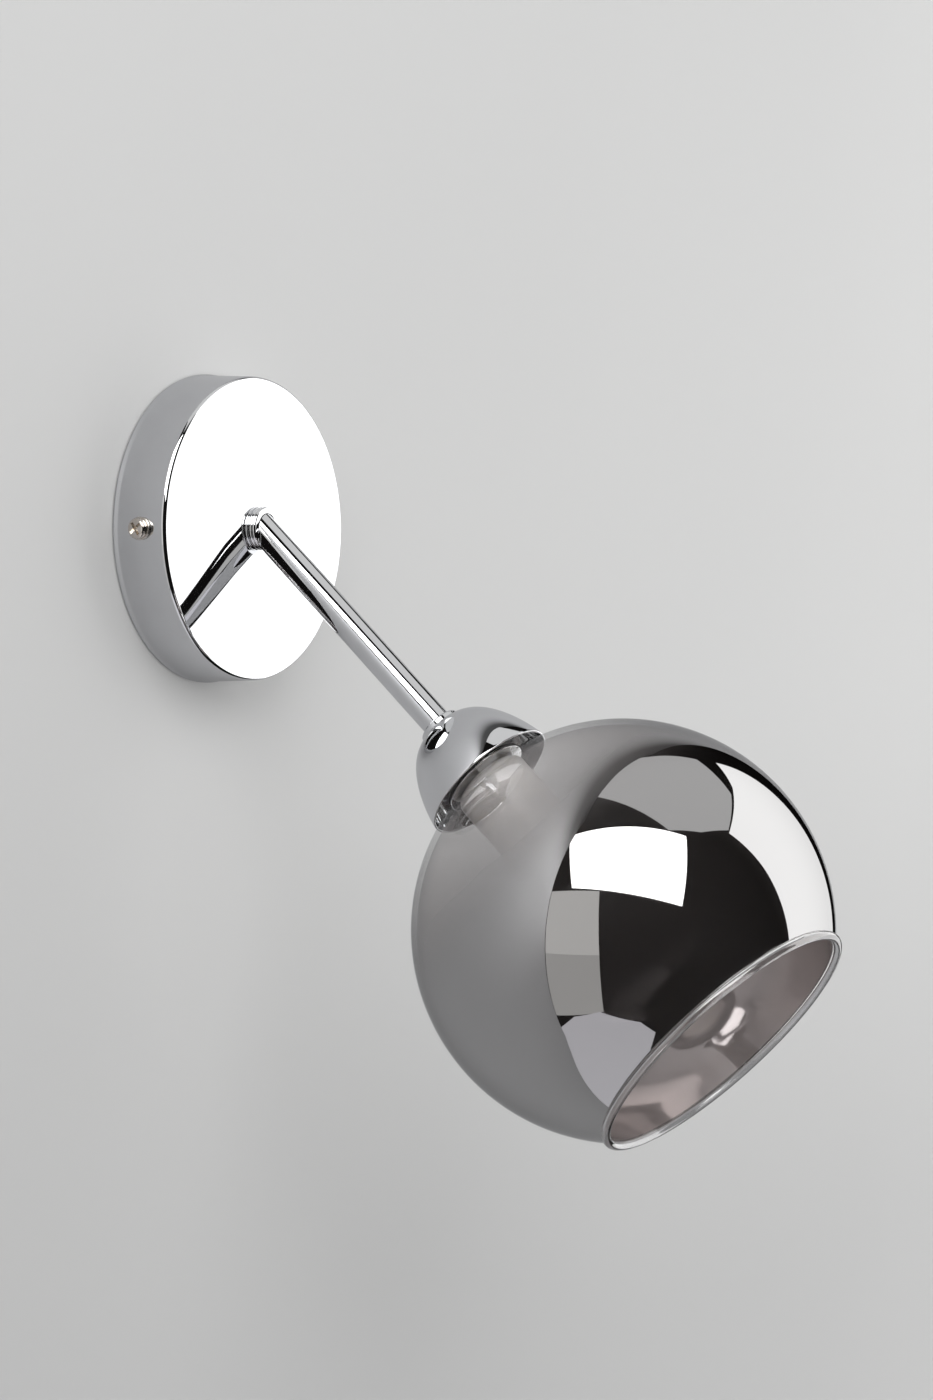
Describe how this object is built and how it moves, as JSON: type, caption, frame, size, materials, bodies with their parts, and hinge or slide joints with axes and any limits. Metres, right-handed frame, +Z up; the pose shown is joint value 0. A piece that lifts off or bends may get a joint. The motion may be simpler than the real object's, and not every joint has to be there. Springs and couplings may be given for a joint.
{
  "type": "globe wall sconce",
  "caption": "Wall light with a shallow round plate whose face is slightly domed, a thin angled arm that swivels on the plate, a domed cap and an open mirrored glass globe with a small screw lamp holder inside.",
  "frame": {"origin": "on the wall, at the centre of the round wall plate and of the bracket's back", "axes": "+Y into the wall, so the room and the arm are towards -Y; +Z up; +X to the right when the light is seen from the room"},
  "size_m": [0.128, 0.2208, 0.237],
  "materials": {
    "chrome": "mirror polish",
    "mirror_glass": "vacuum-coated smoke mirror, clear towards the neck",
    "zinc_steel": "zinc plated",
    "nickel_steel": "nickel plated",
    "brass": "bare",
    "tinned_brass": "tinned",
    "spring_bronze": "rolled",
    "holder_plastic": "moulded, satin",
    "insert_plastic": "moulded",
    "connector_plastic": "moulded",
    "gasket_rubber": "soft",
    "fibre": "pressed fibre",
    "earth_insulation": "extruded",
    "core_insulation": "extruded",
    "lead_sheath": "extruded"
  },
  "bodies": {
    "plate": {"wall_bracket": "zinc_steel", "backplate": "chrome", "side_washers": "nickel_steel", "base_ring": "chrome", "earth_tag": "tinned_brass", "stop_pin": "zinc_steel", "terminal_block": "connector_plastic", "terminal_tubes": "brass", "terminal_screws": "nickel_steel", "block_screw": "nickel_steel", "earth_lug": "tinned_brass", "earth_screw": "nickel_steel", "earth_wire": "earth_insulation", "supply_cores": "core_insulation"},
    "screw_left": {"side_screw_left": "nickel_steel"},
    "screw_right": {"side_screw_right": "nickel_steel"},
    "arm": {"swivel_collar": "chrome", "friction_washer": "fibre", "stop_washer": "zinc_steel", "swivel_nut": "zinc_steel", "arm_tube": "chrome", "cap_nipple": "zinc_steel", "bell_cap": "chrome", "cap_washer": "zinc_steel", "cap_nut": "zinc_steel", "support_nut": "zinc_steel", "seat_disc": "zinc_steel", "upper_gasket": "gasket_rubber", "globe_glass": "mirror_glass", "lower_gasket": "gasket_rubber", "clamp_disc": "zinc_steel", "holder_cap": "holder_plastic", "holder_shell": "holder_plastic", "holder_insert": "insert_plastic", "holder_terminals": "brass", "holder_screws": "nickel_steel", "contact_rivets": "brass", "screw_shell": "brass", "lamp_lead": "lead_sheath", "lamp_cores": "core_insulation"},
    "contact": {"centre_contact": "spring_bronze"}
  },
  "joints": [
    {"name": "arm_swivel", "type": "hinge", "parent": "plate", "child": "arm", "pos_m": [0, -0.0222, 0], "axis": [0, -1, 0], "range_deg": [-160, 160]},
    {"name": "side_screw_left_turn", "type": "hinge", "parent": "plate", "child": "screw_left", "pos_m": [-0.05, -0.0106, 0], "axis": [-1, 0, 0], "continuous": true},
    {"name": "side_screw_right_turn", "type": "hinge", "parent": "plate", "child": "screw_right", "pos_m": [0.05, -0.0106, 0], "axis": [1, 0, 0], "continuous": true},
    {"name": "centre_contact_press", "type": "hinge", "parent": "arm", "child": "contact", "pos_m": [0, -0.11638, -0.09262], "axis": [-1, 0, 0], "range_deg": [0, 12], "stiffness_Nm_per_rad": 0.1}
  ]
}
